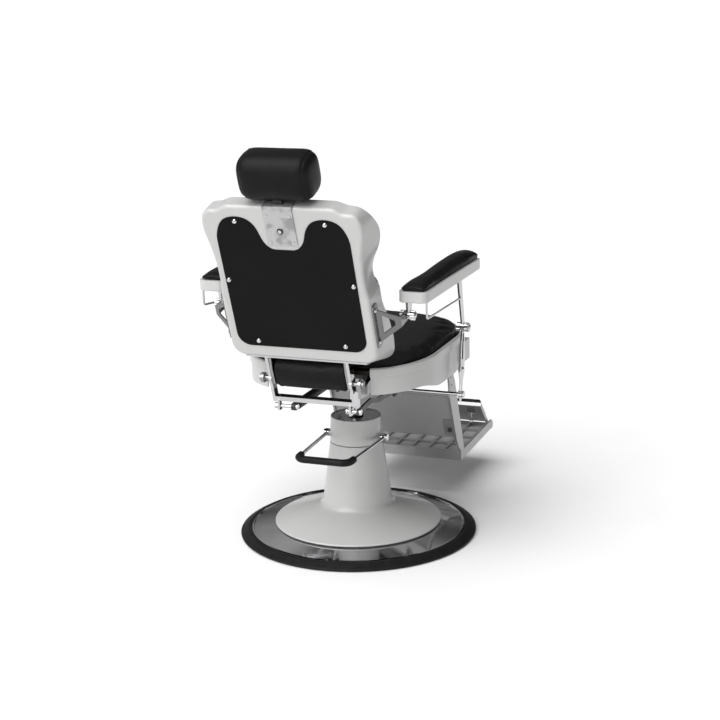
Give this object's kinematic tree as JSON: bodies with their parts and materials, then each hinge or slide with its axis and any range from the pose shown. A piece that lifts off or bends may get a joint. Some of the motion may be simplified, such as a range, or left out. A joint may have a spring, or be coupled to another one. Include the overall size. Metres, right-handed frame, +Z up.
{
  "type": "barber chair",
  "caption": "Reclining barber chair on a round pump column, with padded arms, an adjustable headrest and a linked leg rest with a folding foot flap.",
  "frame": {"origin": "on the floor, under the swivel axis", "axes": "+Z up along the swivel axis; the sitter faces -Y; +X is the sitter's left"},
  "size_m": [0.6756, 1.2561, 1.1573],
  "materials": {
    "white_enamel": "gloss",
    "black_leather": "satin",
    "chrome": "polished",
    "rubber": "satin",
    "steel": "satin",
    "grey_aluminium": "satin",
    "black_enamel": "gloss",
    "black_board": "satin",
    "plywood": "satin",
    "bronze": "satin",
    "cast_iron": "satin"
  },
  "bodies": {
    "base": {"base_ring": "rubber", "base_disc": "cast_iron", "base_plate": "chrome", "column_skirt": "white_enamel", "pump_cylinder": "steel", "pump_bolts": "steel", "swivel_bushes": "bronze"},
    "pump_head": {"pump_barrel": "steel", "pump_collar": "white_enamel", "collar_cap": "black_enamel", "ram_wiper": "rubber", "pedal_pins": "chrome"},
    "pedal": {"pedal_bar": "chrome", "pedal_grip": "rubber"},
    "seat": {"ram": "chrome", "seat_hub": "cast_iron", "hub_bolts": "steel", "seat_frame": "grey_aluminium", "seat_shell": "white_enamel", "seat_board": "plywood", "seat_cushion": "black_leather", "cross_shaft": "chrome", "leg_shaft": "chrome", "hinge_lugs": "chrome"},
    "back": {"back_shell": "white_enamel", "back_board": "plywood", "back_panel": "black_board", "back_fasteners": "chrome", "back_cushion": "black_leather", "back_trim": "chrome", "back_arms": "grey_aluminium", "crossbar": "chrome", "crossbar_pins": "chrome", "back_roll": "black_leather", "roll_plates": "grey_aluminium", "arm_brackets": "black_enamel", "rear_pins": "chrome", "headrest_bracket": "chrome"},
    "headrest": {"headrest_bar": "steel", "headrest_pillow": "black_leather"},
    "headrest_release": {"headrest_button": "chrome"},
    "arm_left": {"arm_base_left": "white_enamel", "arm_pad_left": "black_leather", "arm_posts_left": "chrome"},
    "arm_right": {"arm_base_right": "white_enamel", "arm_pad_right": "black_leather", "arm_posts_right": "chrome"},
    "arm_pillar_left": {"pillar_left": "chrome"},
    "arm_pillar_right": {"pillar_right": "chrome"},
    "leg_rest": {"leg_frame": "grey_aluminium", "leg_panel": "grey_aluminium", "footrest_frame": "grey_aluminium", "footrest_tread": "grey_aluminium"},
    "foot_flap": {"flap_tray": "grey_aluminium", "flap_pad": "rubber"},
    "prop": {"flap_prop": "chrome"},
    "link": {"leg_link": "black_enamel"},
    "lock_body": {"lock_cylinder": "grey_aluminium"},
    "lock_piston": {"lock_rod": "chrome"}
  },
  "joints": [
    {"name": "seat_swivel", "type": "hinge", "parent": "base", "child": "pump_head", "pos_m": [0, 0, 0.3], "axis": [0, 0, 1], "continuous": true},
    {"name": "pedal_stroke", "type": "hinge", "parent": "pump_head", "child": "pedal", "pos_m": [0, 0.003, 0.285], "axis": [-1, 0, 0], "range_deg": [0, 25], "stiffness_Nm_per_rad": 12, "springref_deg": -17.19},
    {"name": "seat_lift", "type": "slide", "parent": "pump_head", "child": "seat", "axis": [0, 0, 1], "range_m": [0, 0.15]},
    {"name": "back_recline", "type": "hinge", "parent": "seat", "child": "back", "pos_m": [0, 0.31168, 0.52414], "axis": [-1, 0, 0], "range_deg": [0, 40]},
    {"name": "leg_swing", "type": "hinge", "parent": "seat", "child": "leg_rest", "pos_m": [0, -0.262, 0.49], "axis": [-1, 0, 0], "range_deg": [0, 40]},
    {"name": "link_pivot", "type": "hinge", "parent": "back", "child": "link", "pos_m": [-0.123, 0.29373, 0.44351], "axis": [-1, 0, 0], "range_deg": [-40, 0]},
    {"name": "arm_left_pivot", "type": "hinge", "parent": "back", "child": "arm_left", "pos_m": [0.265, 0.28468, 0.71214], "axis": [-1, 0, 0], "range_deg": [-40, 0]},
    {"name": "arm_right_pivot", "type": "hinge", "parent": "back", "child": "arm_right", "pos_m": [-0.265, 0.28468, 0.71214], "axis": [-1, 0, 0], "range_deg": [-40, 0]},
    {"name": "pillar_left_pivot", "type": "hinge", "parent": "seat", "child": "arm_pillar_left", "pos_m": [0.283, -0.088, 0.402], "axis": [-1, 0, 0], "range_deg": [0, 40]},
    {"name": "pillar_right_pivot", "type": "hinge", "parent": "seat", "child": "arm_pillar_right", "pos_m": [-0.283, -0.088, 0.402], "axis": [-1, 0, 0], "range_deg": [0, 40]},
    {"name": "lock_pivot", "type": "hinge", "parent": "back", "child": "lock_body", "pos_m": [0.06, 0.29373, 0.44351], "axis": [-1, 0, 0], "range_deg": [-45, 0]},
    {"name": "lock_stroke", "type": "slide", "parent": "lock_body", "child": "lock_piston", "axis": [0, -1, 0.0034], "range_m": [-0.06, 0]},
    {"name": "headrest_height", "type": "slide", "parent": "back", "child": "headrest", "axis": [0, 0.3338, 0.9426], "range_m": [0, 0.07]},
    {"name": "headrest_button_press", "type": "slide", "parent": "back", "child": "headrest_release", "axis": [0, -0.9426, 0.3338], "range_m": [0, 0.003], "stiffness_N_per_m": 400, "springref_m": -0.003},
    {"name": "flap_fold", "type": "hinge", "parent": "leg_rest", "child": "foot_flap", "pos_m": [0, -0.70263, 0.1265], "axis": [1, 0, 0], "range_deg": [0, 130]},
    {"name": "prop_fold", "type": "hinge", "parent": "leg_rest", "child": "prop", "pos_m": [-0.143, -0.64102, 0.1489], "axis": [-1, 0, 0], "range_deg": [0, 60]}
  ],
  "couplings": [
    {"joint": "leg_swing", "follows": "back_recline", "ratio": 1},
    {"joint": "link_pivot", "follows": "back_recline", "ratio": -1},
    {"joint": "arm_left_pivot", "follows": "back_recline", "ratio": -1},
    {"joint": "arm_right_pivot", "follows": "back_recline", "ratio": -1},
    {"joint": "pillar_left_pivot", "follows": "back_recline", "ratio": 1},
    {"joint": "pillar_right_pivot", "follows": "back_recline", "ratio": 1},
    {"joint": "lock_pivot", "follows": "back_recline", "ratio": -1.0969},
    {"joint": "lock_stroke", "follows": "back_recline", "m_per_rad": -0.06967}
  ]
}
